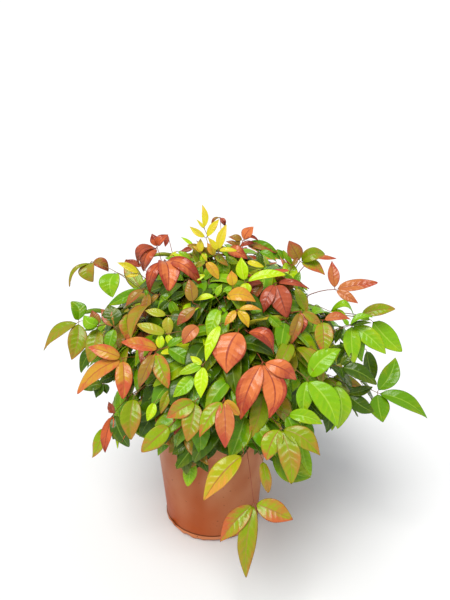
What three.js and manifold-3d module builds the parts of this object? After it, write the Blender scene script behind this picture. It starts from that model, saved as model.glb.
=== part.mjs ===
// Heavenly bamboo (Nandina domestica, a dwarf mounded form) in a round, tapered plastic pot.
// Units are millimetres. +Z is up, -Y is the front, and the origin is the centre of the pot's flat underside.
//
// A short main stem stands in the potting mix and forks into canes. Each cane ends where it enters a mass of
// foliage. A mass is one stem that branches by a seeded rule: arching leaf stalks, two side stalks on each, and
// a spray of three leaflets at every end. A mass keeps to its own wedge of the crown.
import * as THREE from "three";
import { mergeVertices } from "three/addons/utils/BufferGeometryUtils.js";
import Module from "manifold-3d";

const wasm = await Module();
wasm.setup();

// ---------------------------------------------------------------- driving dimensions

const CLEARANCE = 0.3; // between pieces that meet

const POT = {
  height: 194,
  rimRadius: 85,
  baseRadius: 69.9,
  wall: 2.2,
  floor: 3,
  collarHeight: 32,
  collarStep: 1.2,
  lipHeight: 9,
  lipStep: 0.8,
  sides: 40,
};
const MIX = { belowRim: 15, crownRise: 4, crownRadius: 28, wallGap: 0.8 };
const POT_SPACE = { around: 1, taper: 12 }; // what the foliage leaves free about the pot

const STEM = { baseRadius: 13, waistRadius: 9.5, topRadius: 8.5, height: 48, flareHeight: 10, sides: 12 };
const CANE = { baseRadius: 4.2, tipRadius: 2.8, bend: 0.35, levels: [0.33, 0.6, 0.88], sides: 6, steps: 4 };
const LOW_CANES = 40; // degrees: the masses below this elevation are carried by the two lower levels of canes

// The crown is a dome about its centre. Its half-axes run to the hubs of the outermost sprays. It is widest at an
// elevation with this sine, and below that it tucks in by a share of what the sine falls short.
const CROWN = { centre: new THREE.Vector3(20, 0, 244), radius: 198, rise: 184, drop: 78, innermost: 0.78, widest: 0.26, tuck: 0.55 };
const SKIRT = { front: -6, back: -26, halfWidth: 90 }; // degrees: the lowest foliage, and the gap over the pot
const MASS_STEM = { foot: 74, length: 44, footRadius: 2.7, tipRadius: 1.9, sides: 6 }; // foot: from the centre

const STALK = { count: 142, crowding: 1.75, drawnIn: 0.05, radius: 1.7, endRadius: 1.1, steps: 3, arch: 0.22, spread: 0.85 };
const ARCH_SHARES = [1, 0.6, 0.3, 0]; // of a stalk's arch, tried until its spray fits
const FORK = { at: 0.56, angle: 58, jitter: 22 }; // where and how the side stalks leave
const SIDE_STALK = { radius: 1.1, endRadius: 1, steps: 1, length: 31, lengthSpread: 15 };
const SPRAY = { sideAngle: 66, jitter: 8, dip: 0.24, dipSpread: 0.3, tumble: 0.4, lift: 0.75 };
const SIZES = { least: 0.84, spread: 0.28 }; // of leaflets, beside their spray's size
const SEEDS = { dome: 11, stalks: 100 };
const HUB = { radius: 2.6, thickness: 2.4, backAngle: 125 };
const LEAFLET = { length: 68, width: 33, thickness: 1.3, widestAt: 0.44, arch: 6, sideDrop: 2 };

// Each mass of foliage: the azimuth (0 is the front, 90 the right) and elevation of its middle, in degrees.
const MASSES = Object.entries({
  top: [0, 90],
  crown_front: [12, 50],
  crown_right: [98, 50],
  crown_back: [186, 50],
  crown_left: [277, 50],
  front: [2, 8],
  front_right: [62, 8],
  back_right: [122, 8],
  back: [180, 8],
  back_left: [238, 8],
  front_left: [300, 10],
}).map(([name, [azimuth, elevation]]) => ({ name, azimuth, elevation }));

// Sprays that stand out of the dome: where the hub is, as azimuth, elevation and reach from the crown's centre,
// the azimuth and elevation in which its middle leaflet points, and its leaflets' size beside the usual one.
const PROUD_SPRAYS = [
  { azimuth: 287, elevation: 83, reach: 219, aim: [200, 85], size: 0.5 }, // the tallest shoot
  { azimuth: 189, elevation: 79, reach: 196, aim: [60, 30], size: 0.75 },
  { azimuth: 298, elevation: 66, reach: 208, aim: [7, -15], size: 0.95 },
  { azimuth: 264, elevation: 62, reach: 208, aim: [320, 10], size: 0.75 },
  { azimuth: 262, elevation: 41, reach: 234, aim: [300, -32], size: 0.75 },
  { azimuth: 276, elevation: 26, reach: 232, aim: [304, -29], size: 1.1 },
  { azimuth: 311, elevation: 29, reach: 191, aim: [303, -26], size: 1.05 },
  { azimuth: 296, elevation: -9, reach: 172, aim: [327, -42], size: 0.85 },
  { azimuth: 101, elevation: 58, reach: 190, aim: [36, 20], size: 0.85 },
  { azimuth: 78, elevation: 45, reach: 205, aim: [94, 8], size: 0.8 },
  { azimuth: 84, elevation: 28, reach: 217, aim: [52, -34], size: 0.95 },
  { azimuth: 75, elevation: 2, reach: 219, aim: [66, -14], size: 1.25 },
  { azimuth: 40, elevation: 22, reach: 202, aim: [30, -40], size: 1.1 },
  { azimuth: 19, elevation: 13, reach: 201, aim: [10, -39], size: 1.1 },
  { azimuth: 359, elevation: 25, reach: 205, aim: [2, -27], size: 1 },
  { azimuth: 12, elevation: -16, reach: 206, aim: [350, -45], size: 1.25, arch: 0.8, bare: true }, // hangs low
];
const PROUD_SPACING = 9; // degrees that the other stalks keep from these

const SPRAY_TURNS = [0, 25, -25, 50, -50]; // degrees tried about the hub, until all of a spray's leaflets fit
const MOST_CROSSINGS = 1; // that a spray or leaflet may make with others of its mass

const MATERIALS = {
  pot: new THREE.MeshStandardMaterial({ color: 0xb4643c, roughness: 0.48, metalness: 0 }),
  mix: new THREE.MeshStandardMaterial({ color: 0x2e2218, roughness: 0.95, metalness: 0 }),
  bark: new THREE.MeshStandardMaterial({ color: 0x6b4a34, roughness: 0.8, metalness: 0 }),
  foliage: new THREE.MeshStandardMaterial({ color: 0x5f9a1e, roughness: 0.45, metalness: 0 }),
};

// ---------------------------------------------------------------- directions and chance

const UP = new THREE.Vector3(0, 0, 1);
const GOLDEN_ANGLE = 137.508;
const radians = THREE.MathUtils.degToRad;

/** The unit vector at an azimuth (0 is -Y, 90 is +X) and an elevation, both in degrees. */
function heading(azimuth, elevation) {
  const flat = Math.cos(radians(elevation));
  return new THREE.Vector3(
    Math.sin(radians(azimuth)) * flat,
    -Math.cos(radians(azimuth)) * flat,
    Math.sin(radians(elevation)),
  );
}

const turned = (vector, axis, degrees) => vector.clone().applyAxisAngle(axis, radians(degrees));

/** The part of a vector that is square to an axis, at unit length. */
const squareTo = (vector, axis) => vector.clone().addScaledVector(axis, -vector.dot(axis)).normalize();

/** A stream of numbers from 0 to 1 that is the same for the same seed. */
function seeded(seed) {
  let state = seed;
  return () => {
    state = (state + 0x6d2b79f5) >>> 0;
    let mixed = Math.imul(state ^ (state >>> 15), state | 1);
    mixed ^= mixed + Math.imul(mixed ^ (mixed >>> 7), mixed | 61);
    return ((mixed ^ (mixed >>> 14)) >>> 0) / 4294967296;
  };
}

// ---------------------------------------------------------------- solids

/** A closed three.js geometry as a solid that can be joined. */
function solidFrom(geometry) {
  const bare = geometry.clone();
  bare.deleteAttribute("normal");
  bare.deleteAttribute("uv");
  const merged = mergeVertices(bare, 1e-4);
  return new wasm.Manifold(
    new wasm.Mesh({
      numProp: 3,
      vertProperties: merged.attributes.position.array,
      triVerts: new Uint32Array(merged.index.array),
    }),
  );
}

/** The largest connected body of a solid, as a geometry: loose scraps are dropped. */
function geometryFrom(solid) {
  const bodies = solid.decompose().sort((a, b) => b.volume() - a.volume());
  const mesh = bodies[0].getMesh();
  const geometry = new THREE.BufferGeometry();
  geometry.setAttribute("position", new THREE.BufferAttribute(new Float32Array(mesh.vertProperties), 3));
  geometry.setIndex(new THREE.BufferAttribute(new Uint32Array(mesh.triVerts), 1));
  geometry.computeVertexNormals();
  return geometry;
}

const unionOf = (solids) => solids.reduce((whole, solid) => whole.add(solid));

/** A solid of revolution about Z from [radius, height] pairs that start and end on the axis, bottom first. */
function turnedGeometry(profile, sides) {
  const points = profile.map(([radius, height]) => new THREE.Vector2(radius, height));
  return new THREE.LatheGeometry(points, sides).rotateX(Math.PI / 2);
}

/** A tapering limb with flat ends, whose own axis follows a curve. */
function limbGeometry(curve, startRadius, endRadius, sides, steps) {
  const limb = new THREE.CylinderGeometry(endRadius, startRadius, 1, sides, steps);
  const frames = curve.computeFrenetFrames(steps);
  const position = limb.attributes.position;
  for (let i = 0; i < position.count; i++) {
    const step = Math.round((position.getY(i) + 0.5) * steps);
    const place = curve
      .getPointAt(step / steps)
      .addScaledVector(frames.binormals[step], position.getX(i))
      .addScaledVector(frames.normals[step], position.getZ(i));
    position.setXYZ(i, place.x, place.y, place.z);
  }
  return limb;
}

function pointsOf(geometry) {
  const position = geometry.attributes.position;
  return Array.from({ length: position.count }, (_, i) => new THREE.Vector3().fromBufferAttribute(position, i));
}

// ---------------------------------------------------------------- pot and potting mix

/** The pot's outer radius at a height, without its collar and lip. */
const potRadiusAt = (z) => THREE.MathUtils.lerp(POT.baseRadius, POT.rimRadius, z / POT.height);

function potGeometry() {
  const { height, wall, floor, collarHeight, collarStep, lipHeight, lipStep } = POT;
  const collar = height - collarHeight;
  return turnedGeometry(
    [
      [0, 0],
      [potRadiusAt(0) + lipStep, 0],
      [potRadiusAt(lipHeight) + lipStep, lipHeight],
      [potRadiusAt(lipHeight + lipStep), lipHeight + lipStep],
      [potRadiusAt(collar), collar],
      [potRadiusAt(collar) + collarStep, collar + collarStep],
      [POT.rimRadius + collarStep, height],
      [POT.rimRadius - wall, height],
      [potRadiusAt(floor) - wall, floor],
      [0, floor],
    ],
    POT.sides,
  );
}

const MIX_TOP = POT.height - MIX.belowRim;
const MIX_CROWN = MIX_TOP + MIX.crownRise;

function mixGeometry() {
  const bottom = POT.floor + CLEARANCE;
  const radiusAt = (z) => potRadiusAt(z) - POT.wall - MIX.wallGap;
  return turnedGeometry(
    [
      [0, bottom],
      [radiusAt(bottom), bottom],
      [radiusAt(MIX_TOP), MIX_TOP],
      [MIX.crownRadius, MIX_CROWN],
      [0, MIX_CROWN],
    ],
    POT.sides,
  );
}

/** The space that the foliage leaves to the pot. */
function potSpace() {
  const radius = POT.rimRadius + POT.collarStep + POT_SPACE.around;
  const top = POT.height + POT_SPACE.around;
  return turnedGeometry([[0, 0], [radius - POT_SPACE.taper, 0], [radius, top], [0, top]], POT.sides);
}

// ---------------------------------------------------------------- main stem and canes

const STEM_FOOT = MIX_CROWN + CLEARANCE;
const STEM_TOP = STEM_FOOT + STEM.height;

function stemGeometry() {
  return turnedGeometry(
    [
      [0, STEM_FOOT],
      [STEM.baseRadius, STEM_FOOT],
      [(STEM.baseRadius + STEM.waistRadius) / 2, STEM_FOOT + STEM.flareHeight / 3],
      [STEM.waistRadius, STEM_FOOT + STEM.flareHeight],
      [STEM.topRadius, STEM_TOP],
      [0, STEM_TOP],
    ],
    STEM.sides,
  );
}

/** The main stem's radius at a share of its height, above its flare. */
function stemRadiusAt(level) {
  const flare = STEM.flareHeight / STEM.height;
  return THREE.MathUtils.lerp(STEM.waistRadius, STEM.topRadius, (level - flare) / (1 - flare));
}

const middleOf = (mass) => heading(mass.azimuth, mass.elevation);

/** Where a cane leaves the main stem: on its side, facing its mass, or on its top for the topmost mass. */
function caneRoot(mass, outward) {
  if (outward === UP) return new THREE.Vector3(0, 0, STEM_TOP + CLEARANCE);
  const [lower, upper, crown] = CANE.levels;
  const low = MASSES.indexOf(mass) % 2 === 0 ? lower : upper;
  const level = mass.elevation < LOW_CANES ? low : crown;
  return outward.clone().multiplyScalar(stemRadiusAt(level) + CLEARANCE).setZ(STEM_FOOT + level * STEM.height);
}

/** A cane's curve: square out of the main stem, then in line with its mass's stem. */
function caneCurve(mass) {
  const outward = mass.elevation === 90 ? UP : heading(mass.azimuth, 0);
  const root = caneRoot(mass, outward);
  const tip = CROWN.centre.clone().addScaledVector(middleOf(mass), MASS_STEM.foot - CLEARANCE);
  const reach = root.distanceTo(tip) * CANE.bend;
  const leaving = root.clone().addScaledVector(outward, reach);
  const arriving = tip.clone().addScaledVector(middleOf(mass), -reach);
  return new THREE.CubicBezierCurve3(root, leaving, arriving, tip);
}

// ---------------------------------------------------------------- foliage

/** True if every point lies in the mass's own wedge of the crown, clear of its neighbours' wedges. */
function inOwnSpace(mass, points) {
  const own = middleOf(mass);
  return MASSES.filter((other) => other !== mass).every((other) => {
    const border = own.clone().sub(middleOf(other)).normalize();
    return points.every((point) => point.clone().sub(CROWN.centre).dot(border) > CLEARANCE);
  });
}

/** The lowest elevation with foliage at an azimuth: higher in front, where the pot shows. */
function skirtAt(azimuth) {
  const fromFront = Math.min(azimuth, 360 - azimuth);
  const share = THREE.MathUtils.smoothstep(fromFront, SKIRT.halfWidth / 2, SKIRT.halfWidth);
  return THREE.MathUtils.lerp(SKIRT.front, SKIRT.back, share);
}

const nearestMass = (direction) =>
  MASSES.reduce((best, mass) => (middleOf(mass).dot(direction) > middleOf(best).dot(direction) ? mass : best));

/**
 * The ends of the arching stalks: the proud sprays', and the rest spread over the dome by the golden angle,
 * closer together towards the top.
 */
function stalkEnds() {
  const proud = PROUD_SPRAYS.map((spray) => {
    const direction = heading(spray.azimuth, spray.elevation);
    const place = CROWN.centre.clone().addScaledVector(direction, spray.reach);
    return { arch: STALK.arch, ...spray, direction, place, aim: heading(...spray.aim) };
  });
  const random = seeded(SEEDS.dome);
  const lowest = Math.sin(radians(SKIRT.back));
  const ends = [...proud];
  for (let i = 0; i < STALK.count; i++) {
    const azimuth = (i * GOLDEN_ANGLE) % 360;
    const down = ((i + 0.5) / STALK.count) ** STALK.crowding;
    const elevation = THREE.MathUtils.radToDeg(Math.asin(1 - down * (1 - lowest)));
    const share = THREE.MathUtils.lerp(CROWN.innermost, 1, random());
    const outward = heading(azimuth, elevation);
    const direction = outward.clone().lerp(middleOf(nearestMass(outward)), STALK.drawnIn).normalize();
    const radius = CROWN.radius * (1 - CROWN.tuck * Math.max(0, CROWN.widest - direction.z));
    const halfAxes = new THREE.Vector3(radius, radius, direction.z > 0 ? CROWN.rise : CROWN.drop);
    const place = direction.clone().multiply(halfAxes).multiplyScalar(share).add(CROWN.centre);
    const spaced = proud.every((other) => other.direction.angleTo(direction) > radians(PROUD_SPACING));
    if (spaced && elevation > skirtAt(azimuth)) ends.push({ direction, place, size: 1, arch: STALK.arch });
  }
  return ends.map((end, i) => ({ ...end, seed: SEEDS.stalks + i }));
}

/** Three leaflets about a hub: each one's direction, the way it faces, and its size. Young tips don't droop. */
function sprayLeaflets(direction, aim, size, random) {
  const tumble = new THREE.Vector3(random() - 0.5, random() - 0.5, random() - 0.5).multiplyScalar(SPRAY.tumble);
  const facing = squareTo(direction.clone().addScaledVector(UP, SPRAY.lift).add(tumble), aim);
  const droop = 1 - Math.max(aim.z, 0);
  const leaflets = [-SPRAY.sideAngle, 0, SPRAY.sideAngle].map((angle) => {
    const way = turned(aim, facing, angle + SPRAY.jitter * (random() - 0.5));
    way.addScaledVector(UP, -droop * (SPRAY.dip + SPRAY.dipSpread * random())).normalize();
    return { way, facing: squareTo(facing, way), size: size * (SIZES.least + SIZES.spread * random()) };
  });
  return { facing, leaflets };
}

/** A leaflet's corners: its tip, its two sides, and the middle of its upper and lower face. */
function leafletCorners(hub, { way, facing, size }) {
  const side = facing.clone().cross(way);
  const corner = (along, across, up) =>
    hub
      .clone()
      .addScaledVector(way, along * LEAFLET.length * size)
      .addScaledVector(side, (across * LEAFLET.width * size) / 2)
      .addScaledVector(facing, up);
  const arch = LEAFLET.arch * size;
  return {
    tip: corner(1, 0, 0),
    left: corner(LEAFLET.widestAt, 1, arch - LEAFLET.sideDrop),
    right: corner(LEAFLET.widestAt, -1, arch - LEAFLET.sideDrop),
    upper: corner(LEAFLET.widestAt, 0, arch + LEAFLET.thickness / 2),
    lower: corner(LEAFLET.widestAt, 0, arch - LEAFLET.thickness / 2),
  };
}

/**
 * A spray as one closed solid: thin pointed blades that arch over, grown together at a small hub at the end of
 * a three-sided stalk. Without a stalk the hub is closed behind.
 */
function sprayGeometry(hub, facing, leaflets, stalk) {
  const middle = leaflets[Math.floor(leaflets.length / 2)].way;
  const about = (way) => hub.clone().addScaledVector(way, HUB.radius);
  const top = hub.clone().addScaledVector(facing, HUB.thickness / 2);
  const bottom = hub.clone().addScaledVector(facing, -HUB.thickness / 2);
  const notches = [
    about(turned(middle, facing, -HUB.backAngle)),
    ...leaflets.slice(1).map((leaflet, i) => about(leaflet.way.clone().add(leaflets[i].way).normalize())),
    about(turned(middle, facing, HUB.backAngle)),
  ];
  const corners = [top, notches.at(-1), notches[0]];
  leaflets.forEach((leaflet, i) => {
    const { tip, left, right, upper, lower } = leafletCorners(hub, leaflet);
    const rim = [notches[i], right, tip, left, notches[i + 1]];
    rim.slice(1).forEach((point, k) => corners.push(rim[k], point, upper, point, rim[k], lower));
    corners.push(top, notches[i], upper, notches[i + 1], top, upper);
    corners.push(notches[i], bottom, lower, bottom, notches[i + 1], lower);
  });
  let ring = [notches[0], notches.at(-1), bottom];
  if (stalk) {
    let side = facing.clone().cross(middle);
    for (let step = stalk.steps - 1; step >= 0; step--) {
      const share = step / stalk.steps;
      const tangent = stalk.curve.getTangent(share);
      const radius = THREE.MathUtils.lerp(stalk.radius, stalk.endRadius, share);
      side = squareTo(side, tangent);
      const down = side.clone().cross(tangent);
      const next = [-120, 120, 0].map((angle) =>
        stalk.curve.getPoint(share).addScaledVector(turned(down, tangent, angle), radius),
      );
      ring.forEach((point, k) => {
        const beside = (k + 1) % 3;
        corners.push(point, ring[beside], next[beside], point, next[beside], next[k]);
      });
      ring = next;
    }
  }
  corners.push(ring[0], ring[1], ring[2]);
  return new THREE.BufferGeometry().setFromPoints(corners);
}

/** Grows one mass from its stem. What would leave its space, or touch a limb or other leaf, is skipped. */
function growMass(mass, ends, obstacles) {
  const middle = middleOf(mass);
  const foot = CROWN.centre.clone().addScaledVector(middle, MASS_STEM.foot);
  const stem = new THREE.LineCurve3(foot, foot.clone().addScaledVector(middle, MASS_STEM.length));
  const trunk = solidFrom(limbGeometry(stem, MASS_STEM.footRadius, MASS_STEM.tipRadius, MASS_STEM.sides, 1));
  const grown = [trunk];

  /** The solid, if it keeps to the mass's space, touches no limb, and crosses few others but its parent. */
  const fitting = (geometry, parent) => {
    if (!inOwnSpace(mass, pointsOf(geometry))) return null;
    const solid = solidFrom(geometry);
    const touches = (other) => !solid.intersect(other).isEmpty();
    if (touches(obstacles)) return null;
    return grown.filter((piece) => piece !== parent && touches(piece)).length <= MOST_CROSSINGS ? solid : null;
  };

  /** A spray on its stalk, turned about its hub to where most of its leaflets fit. */
  const addSpray = (parent, stalk, { facing, leaflets }) => {
    const hub = stalk.curve.getPoint(1);
    let best = [];
    for (const turn of SPRAY_TURNS) {
      const fit = leaflets
        .map((leaflet) => ({
          size: leaflet.size,
          way: turned(leaflet.way, facing, turn),
          facing: turned(leaflet.facing, facing, turn),
        }))
        .filter((leaflet) => fitting(sprayGeometry(hub, leaflet.facing, [leaflet]), parent));
      if (fit.length > best.length) best = fit;
      if (best.length === leaflets.length) break;
    }
    const solid = best.length > 0 && fitting(sprayGeometry(hub, facing, best, stalk), parent);
    if (solid) grown.push(solid);
    return solid;
  };

  const forks = [];
  ends.forEach((end, i) => {
    const start = stem.getPoint(1 - (STALK.spread * i) / ends.length);
    for (const share of ARCH_SHARES) {
      const random = seeded(end.seed);
      const lift = start.distanceTo(end.place) * end.arch * share;
      const bend = start.clone().lerp(end.place, 0.5).addScaledVector(UP, lift);
      const curve = new THREE.QuadraticBezierCurve3(start, bend, end.place);
      const spray = sprayLeaflets(end.direction, end.aim ?? curve.getTangent(1), end.size, random);
      const solid = addSpray(trunk, { ...STALK, curve }, spray);
      if (solid && !end.bare) forks.push({ solid, curve, random, ...end });
      if (solid) return;
    }
  });
  for (const { solid, curve, direction, size, random } of forks) {
    const fork = curve.getPoint(FORK.at);
    const level = direction.clone().addScaledVector(UP, SPRAY.lift).normalize();
    const onward = squareTo(curve.getTangent(FORK.at), level);
    for (const angle of [FORK.angle, -FORK.angle]) {
      const way = turned(onward, level, angle + FORK.jitter * (random() - 0.5));
      const hub = fork.clone().addScaledVector(way, SIDE_STALK.length + SIDE_STALK.lengthSpread * random());
      const spray = sprayLeaflets(direction, way, size, random);
      addSpray(solid, { ...SIDE_STALK, curve: new THREE.LineCurve3(fork, hub) }, spray);
    }
  }
  return geometryFrom(unionOf(grown));
}

// ---------------------------------------------------------------- assembly

function meshOf(name, geometry, material) {
  const mesh = new THREE.Mesh(geometry, material);
  mesh.name = name;
  return mesh;
}

/** What the foliage keeps clear of: the pot, the main stem, and every cane with the clearance about it. */
function obstacleSolid() {
  const canes = MASSES.map((mass) => {
    const [start, end] = [CANE.baseRadius + CLEARANCE, CANE.tipRadius + CLEARANCE];
    return solidFrom(limbGeometry(caneCurve(mass), start, end, CANE.sides, CANE.steps));
  });
  return unionOf([solidFrom(potSpace()), solidFrom(stemGeometry()), ...canes]);
}

const plant = new THREE.Group();
plant.name = "heavenly_bamboo";
plant.add(meshOf("pot", potGeometry(), MATERIALS.pot));
plant.add(meshOf("potting_mix", mixGeometry(), MATERIALS.mix));
plant.add(meshOf("main_stem", stemGeometry(), MATERIALS.bark));
for (const mass of MASSES) {
  const cane = limbGeometry(caneCurve(mass), CANE.baseRadius, CANE.tipRadius, CANE.sides, CANE.steps);
  plant.add(meshOf(`cane_${mass.name}`, cane, MATERIALS.bark));
}

const obstacles = obstacleSolid();
const ends = stalkEnds();
for (const mass of MASSES) {
  const own = ends.filter((end) => nearestMass(end.direction) === mass);
  plant.add(meshOf(`foliage_${mass.name}`, growMass(mass, own, obstacles), MATERIALS.foliage));
}

export default plant;
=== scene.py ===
"""Heavenly bamboo in a round plastic pot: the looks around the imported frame. Metres, +Z up, -Y is the front."""
import math
import random as chance

import bpy
import numpy as np
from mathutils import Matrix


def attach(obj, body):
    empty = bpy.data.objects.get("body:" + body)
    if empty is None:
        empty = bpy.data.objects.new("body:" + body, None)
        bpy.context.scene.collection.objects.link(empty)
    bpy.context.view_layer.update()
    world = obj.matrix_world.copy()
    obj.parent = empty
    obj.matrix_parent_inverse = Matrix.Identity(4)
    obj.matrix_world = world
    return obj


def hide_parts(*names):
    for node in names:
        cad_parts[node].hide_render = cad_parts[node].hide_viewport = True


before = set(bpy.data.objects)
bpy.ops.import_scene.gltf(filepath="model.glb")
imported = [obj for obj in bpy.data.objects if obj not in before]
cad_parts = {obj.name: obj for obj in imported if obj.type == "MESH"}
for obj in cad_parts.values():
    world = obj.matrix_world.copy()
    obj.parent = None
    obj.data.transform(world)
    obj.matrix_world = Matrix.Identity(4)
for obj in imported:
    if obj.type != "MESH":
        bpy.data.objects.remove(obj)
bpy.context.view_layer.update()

MM = 0.001
UP = np.array([0.0, 0.0, 1.0])

# ---------------------------------------------------------------- the source's own sizes, in millimetres

CLEARANCE = 0.3
POT = dict(height=194, rim=85, base=69.9, wall=2.2, floor=3, collar=32, step=1.2, foot=9, lip=0.8)
MIX = dict(below_rim=15, rise=4, gap=0.8)
STEM = dict(base=13, waist=9.5, top=8.5, height=48, flare=10)
CANE = dict(base=4.2, tip=2.8, bend=0.35, levels=(0.33, 0.6, 0.88))
LOW_CANES = 40  # degrees of elevation
CROWN = dict(
    centre=np.array([20.0, 0.0, 244.0]), radius=198, rise=184, drop=78, innermost=0.78, widest=0.26, tuck=0.55,
)
SKIRT = dict(front=-6, back=-26, half_width=90)
MASS_STEM = dict(foot=74, length=44, radii=(2.7, 1.9))
STALK = dict(count=142, crowding=1.75, drawn_in=0.05, arch=0.22, spread=0.85)
FORK = dict(at=0.56, angle=58, jitter=22)
SIDE_STALK = dict(length=31, spread=15)
SPRAY = dict(side=66, jitter=8, dip=0.24, dip_spread=0.3, tumble=0.4, lift=0.75)
SIZES = dict(least=0.84, spread=0.28)
SEEDS = dict(dome=11, stalks=100)
GOLDEN_ANGLE = 137.508
PROUD_SPACING = 9  # degrees

MASSES = {
    "top": (0, 90),
    "crown_front": (12, 50),
    "crown_right": (98, 50),
    "crown_back": (186, 50),
    "crown_left": (277, 50),
    "front": (2, 8),
    "front_right": (62, 8),
    "back_right": (122, 8),
    "back": (180, 8),
    "back_left": (238, 8),
    "front_left": (300, 10),
}

# ---------------------------------------------------------------- tints, as plain colours

# A tint is the blade's colour, the colour it runs out to at margin and tip, how far that reaches in, and the midrib's.
TINTS = {
    "deep": ("3c5c00", "627202", 0.5, "66821c"),
    "green": ("629602", "8ca008", 0.6, "86ae28"),
    "bright": ("7eb408", "9cba14", 0.6, "9cc434"),
    "lime": ("b4da0c", "ced414", 0.6, "c8d838"),
    "yellow": ("d6cc22", "dcc032", 0.7, "d4c44c"),
    "gold": ("cfae20", "d48c34", 0.8, "b8842c"),
    "amber": ("a8ac10", "d6963c", 0.8, "a07020"),
    "olive": ("849a08", "a87a2c", 0.8, "96842a"),
    "edged": ("8ca60a", "be6234", 0.8, "9a7426"),
    "orange": ("c8962c", "c85c38", 0.9, "b0602c"),
    "salmon": ("c47640", "b44c34", 0.9, "a04c30"),
    "red": ("cc6236", "963824", 1.0, "903a24"),
    "scarlet": ("d67640", "a43c28", 1.0, "9c4028"),
    "maroon": ("b45638", "8c3424", 1.0, "803424"),
    "bronze": ("9a7a26", "a45030", 0.9, "84542a"),
    "pear": ("a2ae1e", "b49e34", 0.6, "a8ac3c"),
}
STEPS = 7  # plain colours from a blade's middle to its margin

# The tints dealt to sprays by height in the crown: name and share.
BELTS = (
    (52, dict(scarlet=2, red=3, orange=3, salmon=2, lime=4, yellow=3, bright=5, edged=3, bronze=1, pear=4)),
    (24, dict(red=1, orange=1, salmon=1, lime=4, bright=8, edged=3, green=6, olive=3, pear=4)),
    (-2, dict(bright=7, green=8, olive=5, edged=3, lime=2)),
    (-90, dict(bright=3, green=8, olive=2, deep=4)),
)
INNER_BELT = dict(deep=7, green=6, bright=2, olive=1)

# ---------------------------------------------------------------- sprays that stand out

# The azimuths and elevations of the source's own proud sprays, from which its dome keeps clear.
PROUD_AT = (
    (287, 83), (189, 79), (298, 66), (264, 62), (262, 41), (276, 26), (311, 29), (296, -9),
    (101, 58), (78, 45), (84, 28), (75, 2), (40, 22), (19, 13), (359, 25), (12, -16),
)

CAMERA = dict(place=(19, -855, 781), pitch=26.2, focal_px=714, width_px=450, height_px=600, sensor=36)


def spray(x, y, reach, tint, *leaves, bare=False, arch=None):
    """A spray seen in front: its hub's pixel, that hub's distance from the crown's centre in millimetres, its leaflets.

    A leaflet is its tip's pixel x and y, then up to four numbers as in USUAL_LEAF, and its tint where that isn't the
    spray's own. Numbers left out at the end are as usual. The arch is the stalk's, where that isn't the rule's.
    """
    return dict(hub=(x, y), reach=reach, tint=tint, leaves=leaves, bare=bare, arch=arch)


def lone(*facts, **more):
    """A spray whose stalk bears no side stalks."""
    return spray(*facts, bare=True, **more)


USUAL_LEAF = (0.5, 0, 0.1, None)  # width over length, degrees its tip leans towards the viewer, arch, bend to a side

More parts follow.
